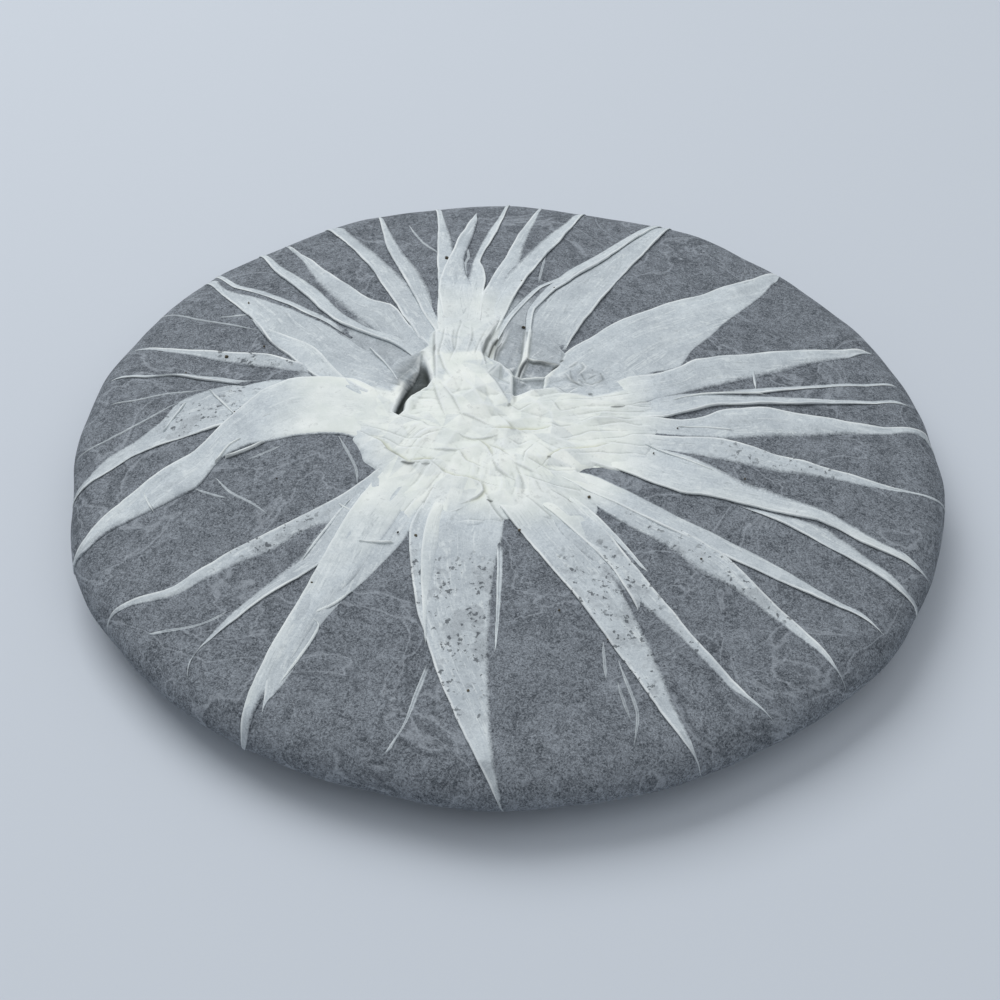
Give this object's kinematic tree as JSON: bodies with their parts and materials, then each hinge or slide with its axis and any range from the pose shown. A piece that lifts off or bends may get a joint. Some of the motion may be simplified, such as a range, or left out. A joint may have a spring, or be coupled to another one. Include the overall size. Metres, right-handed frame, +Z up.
{
  "type": "pressed tea cake",
  "caption": "Round pressed cake of raw tea in thin translucent tissue, pleated over its back to a crumpled gather and a tucked bulb in the middle.",
  "frame": {"origin": "middle of the flat spot that the cake rests on", "axes": "+Z up out of the cake's back, through the gather; +X to the right and +Y away as the picture shows it"},
  "size_m": [0.1998, 0.2006, 0.0281],
  "materials": {
    "tissue": "thin matt fibrous tissue, grey where a single layer lies on the tea and white where it is folded",
    "tea": "dry compressed dark leaf, matt"
  },
  "bodies": {
    "root": {"tissue_wrap": "tissue", "tea_cake": "tea"}
  },
  "joints": []
}
